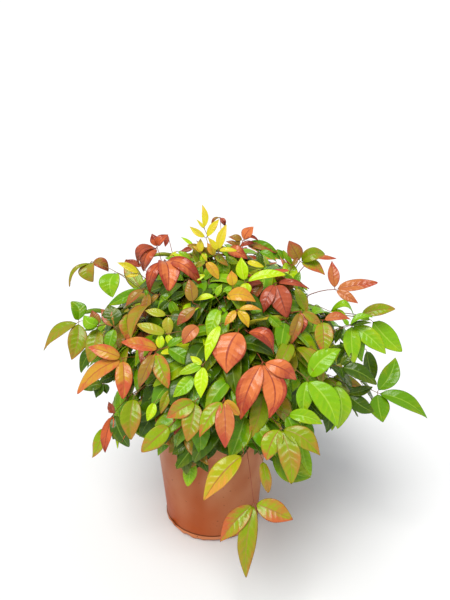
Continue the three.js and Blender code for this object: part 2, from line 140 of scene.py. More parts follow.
FEATURES = (
    # the tall yellow shoot and what curls behind it
    lone(204.5, 229, 222, "yellow", (202, 204.5, 0.3, 0, 0.05, -0.1), (196.5, 219.5, 0.3, 0, 0.05)),
    lone(206, 238, 212, "yellow", (189.5, 226.5, 0.34, 0, 0.08), (219.5, 219, 0.36, 5, 0.08)),
    spray(218, 251, 200, "yellow", (226.5, 224.5, 0.36, 0, 0.08), (207.5, 237.5, 0.4, 10, 0.05),
        (237, 251, 0.35, 0, 0.15)),
    spray(195, 247, 195, "lime", (181, 237, 0.25, 0, 0.05), (180, 251, 0.35, "maroon"), (197, 262, 0.5, 5, "olive")),
    spray(205, 252, 192, "olive", (187, 245, 0.4, 0, 0.12), (196, 240, 0.2, 0, 0.3, "bronze"),
        (202.5, 264, 0.6, 5, "lime")),
    lone(177, 251, 190, "bright", (192, 262.5, 0.4, 0, 0.2), (169, 258, 0.4, "yellow")),
    spray(200, 262, 178, "olive", (188, 272), (199, 282, 0.5, 5, "green"), (192, 255, "olive")),
    spray(224, 257, 184, "green", (222, 281, 0.62, 5), (240, 264), (212, 257, "olive")),
    spray(234, 258, 178, "bright", (234, 276, 0.5, 5), (247, 254, "green"), (222, 252)),
    lone(246, 262, 190, "yellow", (264, 267, 0.4, 0, 0.15)),
    spray(214, 256, 190, "yellow", (207, 243, 0.6, "gold"), (228, 266, "olive"), (214, 247, 0.4)),
    spray(201, 253, 194, "gold", (200.5, 238.5, 0.55, "yellow"), (192.5, 246, 0.4), (207, 262, 0.4, "yellow")),
    spray(239, 247, 188, "bronze", (226, 241.5, 0.5, 0, 0.2), (235, 236.5), (254, 243, 0.4, 0, 0.2, "maroon")),
    spray(292, 266, 188, "bronze", (283.5, 256, "maroon"), (298, 257), (283, 250, 0.35, "green")),
    lone(220, 217, 200, "bronze", (211.5, 225, 0.4, 0, 0.4), (225.5, 227, 0.5, 0, 0.6, "maroon")),
    # reds and bronzes along the top
    spray(243, 240.5, 196, "scarlet", (253.5, 226.5, 0.85, 0, 0.15), (228, 237, 0.5, 0, 0.2, "bronze"),
        (258.5, 241, 0.3, 0, 0.5, "maroon")),
    spray(226, 250, 186, "scarlet", (248, 259, 0.6, 10, 0.35), (212, 246, 0.4, 0, 0.2, "bronze")),
    spray(244, 243, 190, "bronze", (277, 253, 0.4, 5, 0.2), (281, 260, 0.3, 0, 0.2, "green")),
    spray(300, 261.5, 196, "bronze", (289, 240.5, 0.85), (325, 254, 0.55, 0, 0.4, 0.06, "olive"),
        (325, 275, 0.55, 10, 0.12, 0.08, "edged")),
    spray(314, 257, 200, "salmon", (336.5, 258.5, 0.32, 0, 0.1, -0.06)),
    spray(334.8, 289.5, 206, "salmon", (332, 260.5, 0.44, -8), (378, 282.7, 0.32, 0, 0, 0.03),
        (358.5, 303.5, 0.38, 8, 0.12)),
    lone(258, 251, 196, "green", (277, 262, 0.42, 0, 0.2), (262, 266, "deep")),
    lone(263, 282, 182, "maroon", (251, 301, 0.5, 5, "bronze"), (244, 287, 0.45)),
    spray(284, 261, 184, "lime", (297, 286, 0.55, 8, 0.2), (277, 249, "green")),
    # the drooping reds and limes at the top left
    lone(159, 294, 182, "green", (183, 306, 0.42), (150, 305, "bronze"), (168, 284, "deep")),
    lone(170, 300, 176, "deep", (158, 312), (180, 318, "green"), (186, 292)),
    lone(157, 247, 212, "red", (152, 233.5, 0.7, 0, 0.15), (168.5, 234.5, 0.6, 0, 0.35), (143.5, 271.5, 0.6, 5, 0.85),
        (139, 266, 0.4, 0, 1.0, "maroon")),
    lone(167.5, 234.5, 212, "maroon", (165, 247)),
    spray(164.5, 259.5, 208, "scarlet", (150, 293, 0.34, 5, 0.5, -0.12, "red"), (168.5, 291.5, 0.62, 30, 0.3),
        (201.5, 286, 0.34, 0, 0.5)),
    spray(140, 274, 190, "yellow", (117, 262.5, 0.3, 0, 0.05), (125.5, 277, 0.4, 0, 0.05)),
    lone(91.5, 261.5, 236, "olive", (69.5, 287, 0.2, 0, 0.35, -0.06), (93, 282, 0.85, 10, 0.3, -0.2, "olive"),
        (108.5, 271.5, 0.62, -8, 0.35, 0.14, "bronze")),
    lone(115, 271.5, 215, "lime", (112.5, 297.5, 0.82, 15, 0.25, -0.1, "bright")),
    spray(144.5, 288.5, 195, "bronze", (125.5, 306.5, 0.45, 10, 0.15), (108, 305, 0.3, -10, "green"),
        (150, 300, 0.4, "green")),
    # the green spray at the far left
    lone(79, 321.5, 215, "olive", (43.5, 351, 0.4, 8, 0.14, -0.09), (71.5, 360, 0.54, 10, 0.12, 0.07),
        (71, 301.5, 0.75, -10, 0.12, -0.22, "green")),
    spray(98, 326.5, 202, "olive", (89.5, 362.8, 0.54, 10, 0.12, 0.04), (87, 322, 0.5, -10, "bronze")),
    lone(114.5, 327.5, 200, "deep", (108.5, 304.5, 0.95, -10), (101, 309, 0.6, -10, "bronze"),
        (108, 352, 0.6, 8, "green")),
    lone(188, 264, 190, "lime", (171.5, 252.5, 0.35), (165, 258, 0.35, "bright")),
    lone(142, 267, 188, "maroon", (125, 260.5, 0.4)),
    spray(101, 345, 190, "deep", (81, 373, 0.45, 0, 0.1, -0.12)),
    spray(99, 325.5, 206, "bright", (84, 315.5, 0.8, 0, 0.2, 0.2), (83, 331, 0.35, "green"),
        (92, 310, 0.7, "bronze")),
    lone(104, 383, 182, "deep", (83, 389.5, 0.6), (96, 398, 0.75), (107, 394, 0.7)),
    lone(118, 373, 182, "deep", (99, 382, 0.6), (104, 367, 0.6)),
    # the oranges at the left
    lone(123, 358.3, 197, "orange", (88, 347, 0.42, 0, 0.15), (77.2, 394.2, 0.4, 8, 0.1, -0.08),
        (123, 399.3, 0.46, 14, 0.12)),
    spray(160.5, 349.5, 188, "orange", (121, 342, 0.38, 0, 0.15), (160, 333, 0.6, "lime")),
    spray(155.5, 351.5, 192, "edged", (169, 389, 0.45, 14), (159.5, 374, 0.5, 4, "salmon"),
        (139, 388, 0.35, 0, 0.25, "bronze")),
    spray(131.5, 311.5, 190, "edged", (127, 340, 0.72, 12)),
    lone(149, 292, 190, "bronze", (145, 318, 0.4, 5)),
    lone(167.5, 315.5, 188, "pear", (145, 310.5, 0.42), (169, 336, 0.62, 8)),
    spray(167, 334, 187, "pear", (137, 324.5, 0.44, 0, 0.1, 0.06), (172, 347, 0.6, 5, "lime")),
    lone(197, 306.5, 188, "bronze", (177, 325.5)),
    spray(199, 325, 188, "red", (183, 344, 0.64, 6, 0.15, -0.08, "salmon")),
    lone(193, 303, 190, "bronze", (189, 279.5, 0.62)),
    spray(192, 279, 184, "olive", (205, 275, "lime")),
    spray(206, 261, 190, "gold", (218.5, 279.5, 0.55, 8), (195, 268, "olive")),
    # limes and yellows in the middle
    spray(215.5, 296.5, 186, "lime", (194.5, 301, 0.4), (222, 284, "bright")),
    spray(219, 307, 186, "bright", (207.5, 337.5, 0.5, 10, 0.12)),
    lone(221, 323, 196, "lime", (205.8, 361.5, 0.3, 10)),
    spray(244.8, 282, 188, "lime", (241.5, 257, 0.55, 0, 0.06), (286, 275, 0.26, 0, 0.12, 0.05),
        (246, 296, 0.9, 10)),
    spray(233, 287, 190, "gold", (231.5, 270.5, 0.72), (222, 292, "bright")),
    spray(237, 309.5, 190, "gold", (224.5, 325.8, 0.45, 5), (248.5, 327.8, 0.5, 5), (262, 310, 0.28, 0, 0.15)),
    spray(224, 297, 188, "gold", (256, 302, 0.48, 0, 0.2, 0.14)),
    spray(203, 364.5, 194, "lime", (200.8, 398.3, 0.46, 10, 0.08), (190.5, 356, 0.5, -10, 0.05),
        (179, 374, 0.45, 0, 0.05, "bright")),
    # the big reds
    lone(239, 329, 194, "scarlet", (226.5, 374, 0.84, 12, 0.16, -0.08)),
    lone(246, 330.5, 192, "red", (274, 355, 0.5, 5, 0.35, 0.1)),
    lone(262.5, 361.5, 200, "scarlet", (240.5, 420, 0.4, 3, 0.12, -0.05), (268.5, 419, 0.46, 6, 0.1, 0.16),
        (296.5, 380.5, 0.5, -5, 0.25, 0.08)),
    spray(275.6, 282.5, 192, "maroon", (261, 316, 0.42, 10, 0.2), (287.5, 318, 0.62, 10, 0.12),
        (309.5, 289, 0.24, 0, 0.3)),
    lone(262, 306, 168, "deep", (251, 323), (268, 329, "green"), (286, 314)),
    lone(250, 314, 182, "deep", (268, 327), (236, 333), (262, 311, "green")),
    lone(268, 315, 176, "deep", (284, 329, "green"), (259, 331)),
    lone(286, 317, 170, "deep", (272, 334, "green"), (296, 338), (306, 318)),
    # the right shoulder
    spray(295, 287, 186, "olive", (306, 312, 0.5, 5), (300, 272, "green")),
    spray(301, 311, 190, "bronze", (290.2, 344.8, 0.38, 10, 0.15), (322, 326.5, 0.38, 0, 0.12, "olive"),
        (301, 334, 0.5, 8, "red")),
    lone(322.5, 320, 198, "edged", (323.5, 353, 0.6, 14), (351.2, 319.5, 0.36, 0, 0.12, 0.08, "salmon")),
    lone(329, 311, 196, "bright", (354, 315, 0.36, 0, 0.8), (347, 317, 0.3, 0, 0.3, "lime")),
    spray(359, 315, 204, "edged", (395.5, 309, 0.36, 0, 0.08, 0.05)),
    spray(351.5, 324, 205, "bright", (354.3, 364.8, 0.5, 14, 0.1, -0.06), (386, 354, 0.42, 5, 0.12),
        (362, 362, 0.45, "green")),
    lone(348.5, 326, 206, "bright", (373, 317.5, 0.3, 0, 0.2, 0.16), (341, 318), (372, 323, 0.25, "deep")),
    lone(322, 403, 188, "deep", (326, 433, 0.5, 0, 0.2, 0.12)),
    lone(306, 400, 180, "deep", (325, 420)),
    lone(343, 327, 192, "deep", (335, 344, 0.4)),
    lone(346, 350, 188, "deep", (331, 350), (337, 364)),
    spray(371, 320, 205, "bright", (402, 351.8, 0.5, 0, 0.02, -0.04, "bright"), (352, 316, 0.4)),
    spray(366, 349, 192, "deep", (373.7, 380, 0.5, -10, 0.1, -0.08)),
    lone(377.2, 392.5, 210, "green", (395.3, 357.5, 0.48, -14, 0.12, -0.08), (427.5, 418.5, 0.33, 0, 0.14, 0.05),
        (383, 422.5, 0.78, 10, 0.1, -0.08)),
    spray(307, 378.5, 194, "bright", (341, 349, 0.5, 0, 0.12, 0.1), (303.5, 416.5, 0.5, 10, 0.1, -0.06),
        (337, 427.5, 0.5, 4, 0.12, 0.08)),
    spray(335.5, 382.5, 190, "bright", (337.5, 429, 0.48, 0, 0.15, 0.1), (342, 385, 0.6, "green")),
    spray(340, 366, 188, "deep", (377, 384.5, 0.45, 0, 0.15), (352, 353), (343, 379)),
    spray(347, 394, 184, "deep", (374, 411.5, 0.55, 0, 0.12, -0.1), (373, 387, 0.4)),
    # the lower front
    spray(195, 374.5, 192, "bright", (172.8, 397.3, 0.5, 5)),
    lone(166, 347, 192, "green", (198, 365, 0.46), (186, 336, 0.4)),
    spray(196, 400.3, 196, "edged", (166.2, 418, 0.6, 5, 0.18), (187, 442, 0.55, 14, "olive")),
    spray(224, 399.5, 200, "edged", (199.3, 437.8, 0.42, 10), (225.3, 448.3, 0.44, 14, "salmon"),
        (240, 415, 0.5, 0, 0.2, "orange")),
    spray(171, 424.5, 196, "edged", (141.4, 452.2, 0.52, 5, 0.12)),
    spray(171, 388, 190, "olive", (160.8, 414, 0.36, 5)),
    spray(134, 396, 192, "olive", (131, 440, 0.52, 10, 0.12)),
    lone(154.5, 401.5, 188, "lime", (147, 421, 0.52, 5)),
    lone(113.6, 413.5, 184, "red", (105, 452.8, 0.3, 0, 0.12), (129, 447, 0.5, 0, 0.2, "deep"),
        (108.5, 401.5, 0.6, "maroon")),
    lone(104.5, 426, 175, "edged", (92, 458, 0.42, 0, 0.15, 0.1)),
    lone(280.7, 427.5, 205, "edged", (266.5, 460.5, 0.64, 10, 0.12, -0.08),
        (291.3, 484.3, 0.42, 12, 0.1, 0.07, "olive"), (320.4, 456, 0.46, 4, 0.14, 0.08, "olive")),
    lone(286, 414, 195, "bright", (322.5, 424, 0.4, 0, 0.2), (300, 446, "green")),
    lone(270, 449, 180, "green", (311, 477.5, 0.6, 0, 0.1, -0.16)),
    lone(301, 441, 178, "bright", (311, 476, 0.4, 0, 0.05, -0.06)),
    lone(262.5, 459.5, 190, "olive", (268.5, 492.8, 0.36, 0, 0.2)),
    lone(191, 458.5, 165, "bright", (187.5, 486.5, 0.56), (180, 468, 0.6, "deep")),
    lone(186, 443, 175, "deep", (208, 472, 0.42), (172, 454.5, 0.6)),
    spray(216, 437, 170, "deep", (204.3, 461, 0.6), (240, 446, 0.4)),
    # the strand that hangs in front of the pot
    lone(243.7, 453.2, 204, "amber", (203.7, 500.8, 0.4, 5, 0.12, -0.03)),
    lone(253.7, 502.8, 210, "edged", (220, 542, 0.42, 5, 0.12), (293.2, 519.5, 0.56, 5, 0.1, 0),
        (246, 578, 0.28, 8, 0.1, -0.06, "olive"), arch=0.8),
)
FEATURE_SPACING = 16  # degrees within which the dome's own sprays stay behind these
BEHIND = 0.84  # of their reach, for those that do


# ---------------------------------------------------------------- directions and chance

def heading(azimuth, elevation):
    a, e = math.radians(azimuth), math.radians(elevation)
    return np.array([math.sin(a) * math.cos(e), -math.cos(a) * math.cos(e), math.sin(e)])


def dot(a, b):
    return float(np.dot(a, b))


def norm(v):
    return float(np.linalg.norm(v))


def unit(v):
    return v / max(norm(v), 1e-12)


def turned(v, axis, degrees):
    a = math.radians(degrees)
    return v * math.cos(a) + np.cross(axis, v) * math.sin(a) + axis * dot(axis, v) * (1 - math.cos(a))


def square_to(v, axis):
    return unit(v - axis * dot(v, axis))


def lerp(a, b, t):
    return a + (b - a) * t


def smoothstep(x, low, high):
    t = min(max((x - low) / (high - low), 0.0), 1.0)
    return t * t * (3 - 2 * t)


def seeded(seed):
    """The source's stream of numbers from 0 to 1."""
    state = seed

    def draw():
        nonlocal state
        state = (state + 0x6D2B79F5) & 0xFFFFFFFF
        mixed = ((state ^ (state >> 15)) * (state | 1)) & 0xFFFFFFFF
        mixed ^= (mixed + (((mixed ^ (mixed >> 7)) * (mixed | 61)) & 0xFFFFFFFF)) & 0xFFFFFFFF
        return ((mixed ^ (mixed >> 14)) & 0xFFFFFFFF) / 4294967296

    return draw


# ---------------------------------------------------------------- meshes

def new_object(name, data):
    obj = bpy.data.objects.new(name, data)
    bpy.context.scene.collection.objects.link(obj)
    return obj


class Pile:
    """Faces of many small things that end up as one mesh."""

    def __init__(self):
        self.points, self.faces, self.slots, self.count = [], [], [], 0

    def add(self, points, faces, slots):
        self.points.append(points)
        self.faces.extend([tuple(i + self.count for i in face) for face in faces])
        self.slots.extend(slots)
        self.count += len(points)

    def build(self, name, materials):
        """One object; slots are names of materials."""
        names = sorted(set(self.slots))
        mesh = bpy.data.meshes.new(name)
        mesh.from_pydata((np.concatenate(self.points) * MM).tolist(), [], self.faces)
        for slot in names:
            mesh.materials.append(materials[slot])
        lookup = {slot: i for i, slot in enumerate(names)}
        mesh.polygons.foreach_set("material_index", [lookup[slot] for slot in self.slots])
        mesh.polygons.foreach_set("use_smooth", [True] * len(mesh.polygons))
        mesh.update()
        return new_object(name, mesh)


def bands(rings, sides):
    """The faces between each ring of points and the next."""
    places = [(i * sides, j, (j + 1) % sides) for i in range(rings - 1) for j in range(sides)]
    return [(ring + j, ring + k, ring + sides + k, ring + sides + j) for ring, j, k in places]


def tube(path, radii, sides, slot, pile):
    """A tapering tube along a path; its ends are closed with a point."""
    path = np.asarray(path, float)
    tangents = np.gradient(path, axis=0)
    side = square_to(np.array([0.31, 0.87, 0.38]), unit(tangents[0]))
    rings = []
    for place, tangent, radius in zip(path, tangents, radii):
        tangent = unit(tangent)
        side = square_to(side, tangent)
        other = np.cross(tangent, side)
        angles = np.arange(sides) * 2 * math.pi / sides
        rings.append(place + radius * (np.outer(np.cos(angles), side) + np.outer(np.sin(angles), other)))
    points = np.concatenate(rings + [path[:1], path[-1:]])
    faces = bands(len(path), sides)
    last = (len(path) - 1) * sides
    start, end = len(path) * sides, len(path) * sides + 1
    for j in range(sides):
        k = (j + 1) % sides
        faces.append((start, k, j))
        faces.append((end, last + j, last + k))
    pile.add(points, faces, [slot] * len(faces))


def bezier(points, t):
    """A Bezier curve's points at each t."""
    t = np.asarray(t, float)[:, None]
    points = [np.asarray(p, float)[None, :] for p in points]
    while len(points) > 1:
        points = [a + (b - a) * t for a, b in zip(points, points[1:])]
    return points[0]


def limb(points, radii, made, slot, pile, end=1.0, share=1.0):
    """A tapering tube along a Bezier curve, up to one end of it and at a share of its radii."""
    path = bezier(points, np.linspace(0, end, made["rings"]))
    tube(path, np.linspace(*radii, made["rings"]) * share, made["sides"], slot, pile)


# ---------------------------------------------------------------- leaflets

# How finely a leaflet is made: its rows, the rows from one side vein to the next, where its columns run across, and
# which column, counted from 0 at each edge, its underside follows beside the rib.
DETAIL = {
    "seen": dict(rows=22, vein=3, columns=(-1.0, -0.88, -0.64, -0.34, -0.06, 0.06, 0.34, 0.64, 0.88, 1.0), under=2),
    "usual": dict(rows=16, vein=3, columns=(-1.0, -0.82, -0.46, -0.07, 0.07, 0.46, 0.82, 1.0), under=2),
    "plain": dict(rows=9, vein=2, columns=(-1.0, -0.6, -0.08, 0.08, 0.6, 1.0), under=1),
}
MOTTLE = 0.06  # how much further the margin's colour runs in between the veins
CONTRAST = 1.6  # how sharply the blade's colour turns to the margin's
BLADE = dict(
    slant=0.2, quilt=0.85, crinkle=1.1, rib=0.45, thickness=0.5, fold=0.26, arch=0.14, ratio=0.43,
    belly=0.05, waves=5.5, lag=1.3,
)
CRINKLES, BLOTCHES = (9, 6), (6, 4)  # knots along and across of the two random fields
RIPENING = dict(along=1.6, across=1.5)  # how late the margin's colour sets in
LEAN = 0.35  # how far a blade's arch and side veins lie towards its base
RELIEF_LENGTH = 60  # the length at which quilting and crinkles have their own height
PUFFED, SUNK = 0.6, -1.2  # the quilting's heights between the side veins and on them
ROUNDED = 0.8  # how fully the quilting swells from midrib to margin
VARY = dict(  # what a leaflet's own measures are drawn from; some are shares of the usual one
    width=(0.86, 1.14), arch=(0.3, 1.9), fold=(0.2, 1.8), sway=(-0.05, 0.05), full=(0.62, 0.95), twist=(-0.3, 0.3),
    wave=(0.2, 1.0), phase=(0, 2 * math.pi), tipward=(0.3, 1.0), outward=(0.2, 0.8), onesided=(-0.3, 0.3),
    ripe=(-0.1, 0.3), blotches=(0.2, 0.5),
)


def blade_outline(a, full):
    """Half the width at a share of the length: broadest below the middle, more or less drawn out to its point."""
    return np.sin(math.pi * np.clip(a, 0, 1) ** 0.82) ** full * (1 - full * 0.28 * np.clip((a - 0.6) / 0.4, 0, 1))


def patchy(rng, rows, columns, a, across):
    """A smooth random field from -1 to 1 over a blade, at the shares a of its length and across."""
    knots = np.array([[rng.uniform(-1, 1) for _ in range(columns)] for _ in range(rows)])
    along = np.array([np.interp(a, np.linspace(0, 1, rows), column) for column in knots.T])
    return np.array([np.interp(across, np.linspace(-1, 1, columns), row) for row in along.T])


def add_leaflet(pile, base, tip, facing, tint, rng, detail="usual", arch=None, ratio=None, sway=None):
    """A quilted, keeled blade from base to tip that arches between them, with its midrib and underside."""
    chord = tip - base
    length = norm(chord)
    way = chord / length
    side = np.cross(facing, way)

    def vary(name):
        return rng.uniform(*VARY[name])

    width = length * (ratio or BLADE["ratio"] * vary("width"))
    arch = BLADE["arch"] * vary("arch") if arch is None else arch
    fold = BLADE["fold"] * vary("fold")
    sway = (vary("sway") if sway is None else sway) * length
    full, twist, wave, phase = [vary(name) for name in ("full", "twist", "wave", "phase")]
    turn = TINTS[tint][2]
    tipward, outward = vary("tipward") * turn, vary("outward") * turn
    onesided, ripe, blotches = [vary(name) for name in ("onesided", "ripe", "blotches")]
    made = DETAIL[detail]
    s = np.linspace(0, 1, made["rows"] + 1)[1:-1]
    t = np.array(made["columns"])
    S, T = np.meshgrid(s, t, indexing="ij")
    A = S + BLADE["slant"] * np.abs(T) * 4 * S * (1 - S) * (1 - LEAN * S)
    Y = T * width / 2 * blade_outline(A, full)
    rows = np.arange(len(s))
    puffed = np.where(rows % made["vein"], PUFFED, SUNK)
    swell = np.sin(math.pi * np.abs(T) ** ROUNDED)
    Z = puffed[:, None] * (BLADE["quilt"] * length / RELIEF_LENGTH) * swell * np.sin(math.pi * S)
    Z += fold * np.abs(Y) - BLADE["belly"] * Y * Y / max(width / 4, 1)
    rolling = wave * T * T * np.sin(BLADE["waves"] * A + phase + BLADE["lag"] * T)
    Z += rolling - BLADE["rib"] * (np.abs(T) < 0.1) + twist * Y * A
    Z += BLADE["crinkle"] * length / RELIEF_LENGTH * patchy(rng, *CRINKLES, s, t) * swell ** 2

    def place(a, y, z):
        """A point at a share of the arched midrib, out to a side and up from the face."""
        a = np.asarray(a, float)
        rise = 2 * arch * length * a * (1 - a) * 2 * (1 - LEAN * a)
        slope = 4 * arch * ((1 - 2 * a) * (1 - LEAN * a) - LEAN * a * (1 - a))
        scale = 1 / np.sqrt(1 + slope * slope)
        bend = sway * 4 * a * (1 - a)
        along = a * length - z * slope * scale
        up = rise + z * scale
        return base + np.multiply.outer(along, way) + np.multiply.outer(y + bend, side) + np.multiply.outer(up, facing)

    n, m = len(s), len(t)
    top = place(A, Y, Z).reshape(-1, 3)
    ends = place(np.array([0.0, 1.0]), np.zeros(2), np.zeros(2))
    inner = (made["under"], m - 1 - made["under"])
    below = [place(A[:, c], Y[:, c], Z[:, c - 1 : c + 2].min(axis=1) - BLADE["thickness"]) for c in inner]
    rib = place(s, np.zeros(n), Z[:, m // 2 - 2 : m // 2 + 2].min(axis=1) - BLADE["thickness"])
    points = np.concatenate([top, ends, below[0], rib, below[1]])
    foot, tip_at = n * m, n * m + 1
    under = n * m + 2
    faces, slots = [], []

    mid_s, mid_t = (s[:-1] + s[1:]) / 2, (t[:-1] + t[1:]) / 2
    along, across = mid_s[:, None], np.abs(mid_t)
    level = ripe + tipward * along ** RIPENING["along"] + outward * across ** RIPENING["across"]
    level += onesided * mid_t * along
    level += blotches * patchy(rng, *BLOTCHES, mid_s, mid_t) + MOTTLE * (puffed[:-1] + puffed[1:])[:, None]
    level = 0.5 + (level - 0.5) * CONTRAST
    step = np.clip(level * STEPS, 0, STEPS - 1).astype(int)
    for j in range(m - 1):
        names = [f"{tint}_rib" if abs(mid_t[j]) < 0.05 else f"{tint}_{k}" for k in step[:, j]]
        faces.append((foot, j, j + 1))
        faces.extend((i * m + j, (i + 1) * m + j, (i + 1) * m + j + 1, i * m + j + 1) for i in range(n - 1))
        faces.append(((n - 1) * m + j, tip_at, (n - 1) * m + j + 1))
        slots.extend([names[0], *names, names[-1]])
    # from edge to edge round the underside: each line's first point, and how far apart its points are listed
    starts = ((0, m), (under, 1), (under + n, 1), (under + 2 * n, 1), (m - 1, m))
    lines = [[foot, *(start + i * stride for i in range(n)), tip_at] for start, stride in starts]
    for left, right in zip(lines, lines[1:]):
        for i in range(n + 1):
            quad = list(dict.fromkeys([left[i], right[i], right[i + 1], left[i + 1]]))
            faces.append(tuple(quad))
            slots.append(f"{tint}_under")
    pile.add(points, faces, slots)


# ---------------------------------------------------------------- the source's rule

middle_of = {name: heading(*place) for name, place in MASSES.items()}


def nearest_mass(direction):
    return max(MASSES, key=lambda name: dot(middle_of[name], direction))


def skirt_at(azimuth):
    from_front = min(azimuth % 360, 360 - azimuth % 360)
    share = smoothstep(from_front, SKIRT["half_width"] / 2, SKIRT["half_width"])
    return lerp(SKIRT["front"], SKIRT["back"], share)


def angle_between(a, b):
    return math.degrees(math.acos(min(1.0, dot(a, b))))


def stalk_ends():
    """Where the arching stalks of the source's dome end: by the golden angle, clear of its proud sprays."""
    ends = []
    draw = seeded(SEEDS["dome"])
    lowest = math.sin(math.radians(SKIRT["back"]))
    proud = [heading(*place) for place in PROUD_AT]
    for i in range(STALK["count"]):
        azimuth = (i * GOLDEN_ANGLE) % 360
        down = ((i + 0.5) / STALK["count"]) ** STALK["crowding"]
        elevation = math.degrees(math.asin(1 - down * (1 - lowest)))
        share = lerp(CROWN["innermost"], 1, draw())
        outward = heading(azimuth, elevation)
        direction = unit(lerp(outward, middle_of[nearest_mass(outward)], STALK["drawn_in"]))
        radius = CROWN["radius"] * (1 - CROWN["tuck"] * max(0.0, CROWN["widest"] - float(direction[2])))
        half_axes = np.array([radius, radius, CROWN["rise"] if direction[2] > 0 else CROWN["drop"]])
        place = direction * half_axes * share + CROWN["centre"]
        spaced = all(angle_between(p, direction) > PROUD_SPACING for p in proud)
        if spaced and elevation > skirt_at(azimuth):
            ends.append({"direction": direction, "place": place, "seed": SEEDS["stalks"] + len(proud) + len(ends)})
    return ends


def spray_leaflets(direction, aim, size, draw):
    """The source's three leaflets about a hub: way, facing and size of each."""
    tumble = np.array([draw() - 0.5, draw() - 0.5, draw() - 0.5]) * SPRAY["tumble"]
    facing = square_to(direction + UP * SPRAY["lift"] + tumble, aim)
    droop = 1 - max(float(aim[2]), 0)
    leaflets = []
    for angle in (-SPRAY["side"], 0, SPRAY["side"]):
        way = turned(aim, facing, angle + SPRAY["jitter"] * (draw() - 0.5))
        way = unit(way - UP * droop * (SPRAY["dip"] + SPRAY["dip_spread"] * draw()))
        leaflets.append((way, square_to(facing, way), size * (SIZES["least"] + SIZES["spread"] * draw())))
    return leaflets


# ---------------------------------------------------------------- the crown

LEAFLET_LENGTH = 52  # of the rule's leaflets at their usual size
PETIOLULE = dict(side=3.5, middle=8.5, radius=0.5, taper=(1.2, 0.9, 0.8), sunk=1.5)  # sunk into the blade
STALK_RADII = (0.9, 0.5)
SLENDER = 0.75  # of that, where a stalk bears no side stalks
SIDE_RADII = (0.65, 0.45)
FINER = dict(at=0.3, fewest=0.35)  # a second, inner pair of side stalks, and how much of it is left out
LIMBS = dict(  # how finely the tubes are made
    mass_stem=dict(rings=6, sides=8), stalk=dict(rings=9, sides=5), side_stalk=dict(rings=4, sides=4),
)
LOWER = 15  # degrees: the sprays on side stalks take their tints from this much further down
OWN_TINT = 0.45  # the share of them that keep their stalk's tint instead
SEEN_FACING = dict(up=0.55, outward=0.3, turn=0.3)  # how a seen leaflet turns from the viewer
RED_STALKS = ("red", "scarlet", "maroon", "salmon", "orange", "bronze", "gold", "amber", "edged")


def deal(belt, rng):
    names = sorted(belt)
    return rng.choices(names, [belt[name] for name in names])[0]


def belt_at(elevation):
    return next(belt for floor, belt in BELTS if elevation >= floor)


def stalk_tint(tint):
    return "stalk_red" if tint in RED_STALKS else "stalk_brown"


def petiolule(stalks, hub, way, reach, tint):
    """A leaflet's own short stalk; returns where the blade starts."""
    radii = [PETIOLULE["radius"] * share for share in PETIOLULE["taper"]]
    path = [hub, hub + way * reach * 0.5, hub + way * (reach + PETIOLULE["sunk"])]
    tube(path, radii, LIMBS["side_stalk"]["sides"], stalk_tint(tint), stalks)
    return hub + way * reach


# Shares of a leaflet's length, along and across, at which it is tested for the open places.
BLADE_SPOTS = [(along, 0) for along in (0.05, 0.3, 0.5, 0.7, 0.85, 1)]
BLADE_SPOTS += [(along, out) for along, to in ((0.2, 0.15), (0.35, 0.2), (0.5, 0.18), (0.7, 0.12)) for out in (-to, to)]


def add_spray(leaves, stalks, hub, leaflets, tint, detail):
    """The rule's three leaflets, each on its short stalk, but for those in open places; returns whether any grew."""
    grown = False
    for i, (way, facing, length) in enumerate(leaflets):
        reach = (PETIOLULE["middle"] if i == 1 else PETIOLULE["side"]) * length / LEAFLET_LENGTH
        side = np.cross(facing, way)
        spots = [way * (reach + length * along) + side * length * across for along, across in BLADE_SPOTS]
        if any(in_the_open(hub + spot) for spot in spots):
            continue
        base = petiolule(stalks, hub, way, reach, tint)
        rng = chance.Random(f"{hub[0]:.1f} {hub[2]:.1f} {i}")
        add_leaflet(leaves, base, base + way * length, facing, tint, rng, detail)
        grown = True
    return grown


# The places in the camera's view that the rule's leaflets leave open, as pixel and radius: sky, the pot or a seen
# leaflet shows there.
OPEN = (
    (306, 279, 7), (151, 393, 3), (320, 284, 9), (337, 306, 7), (345, 300, 5), (308, 270, 4), (174, 308, 5),
    (105, 287, 8), (126, 285, 4), (90, 300, 6), (139, 348, 4), (86, 388, 10), (60, 372, 16), (50, 400, 22),
    (70, 430, 22), (140, 478, 24), (355, 445, 24), (335, 470, 22), (366, 428, 9), (318, 297, 9), (332, 442, 8),
    (321, 447, 8), (318, 462, 5), (97, 402, 8), (330, 300, 6), (284, 243, 3), (310, 303, 6), (322, 309, 6),
    (338, 325, 5), (336, 345, 4), (328, 375, 3), (315, 404, 3), (318, 430, 5), (118, 293, 4), (127, 290, 4),
    (104, 424, 5), (110, 425, 4), (112, 391, 5), (336, 325, 4), (316, 304, 5), (318, 311, 4), (332, 325, 4),
    (349, 418, 5), (316, 399, 6), (362, 392, 3), (112, 453, 5), (149, 450, 5), (110, 388, 3), (106, 408, 4),
    (156, 287, 4), (182, 246, 3), (164, 253, 4), (280, 313, 3), (305, 276, 4), (405, 385, 14), (190, 250, 3),
    (215, 262, 2), (110, 372, 4), (335, 440, 8), (100, 480, 26), (228, 225, 3), (166, 240, 7), (184, 236, 6),
    (120, 470, 10), (150, 462, 6), (250, 480, 22), (215, 500, 34), (400, 330, 6),
)
MIDDLE = (CAMERA["width_px"] / 2, CAMERA["height_px"] / 2)
PITCH = math.radians(CAMERA["pitch"])
EYE = np.array(CAMERA["place"], float)
FORWARD = np.array([0.0, math.cos(PITCH), -math.sin(PITCH)])
LIFT = np.array([0.0, math.sin(PITCH), math.cos(PITCH)])
RIGHT = np.array([1.0, 0.0, 0.0])


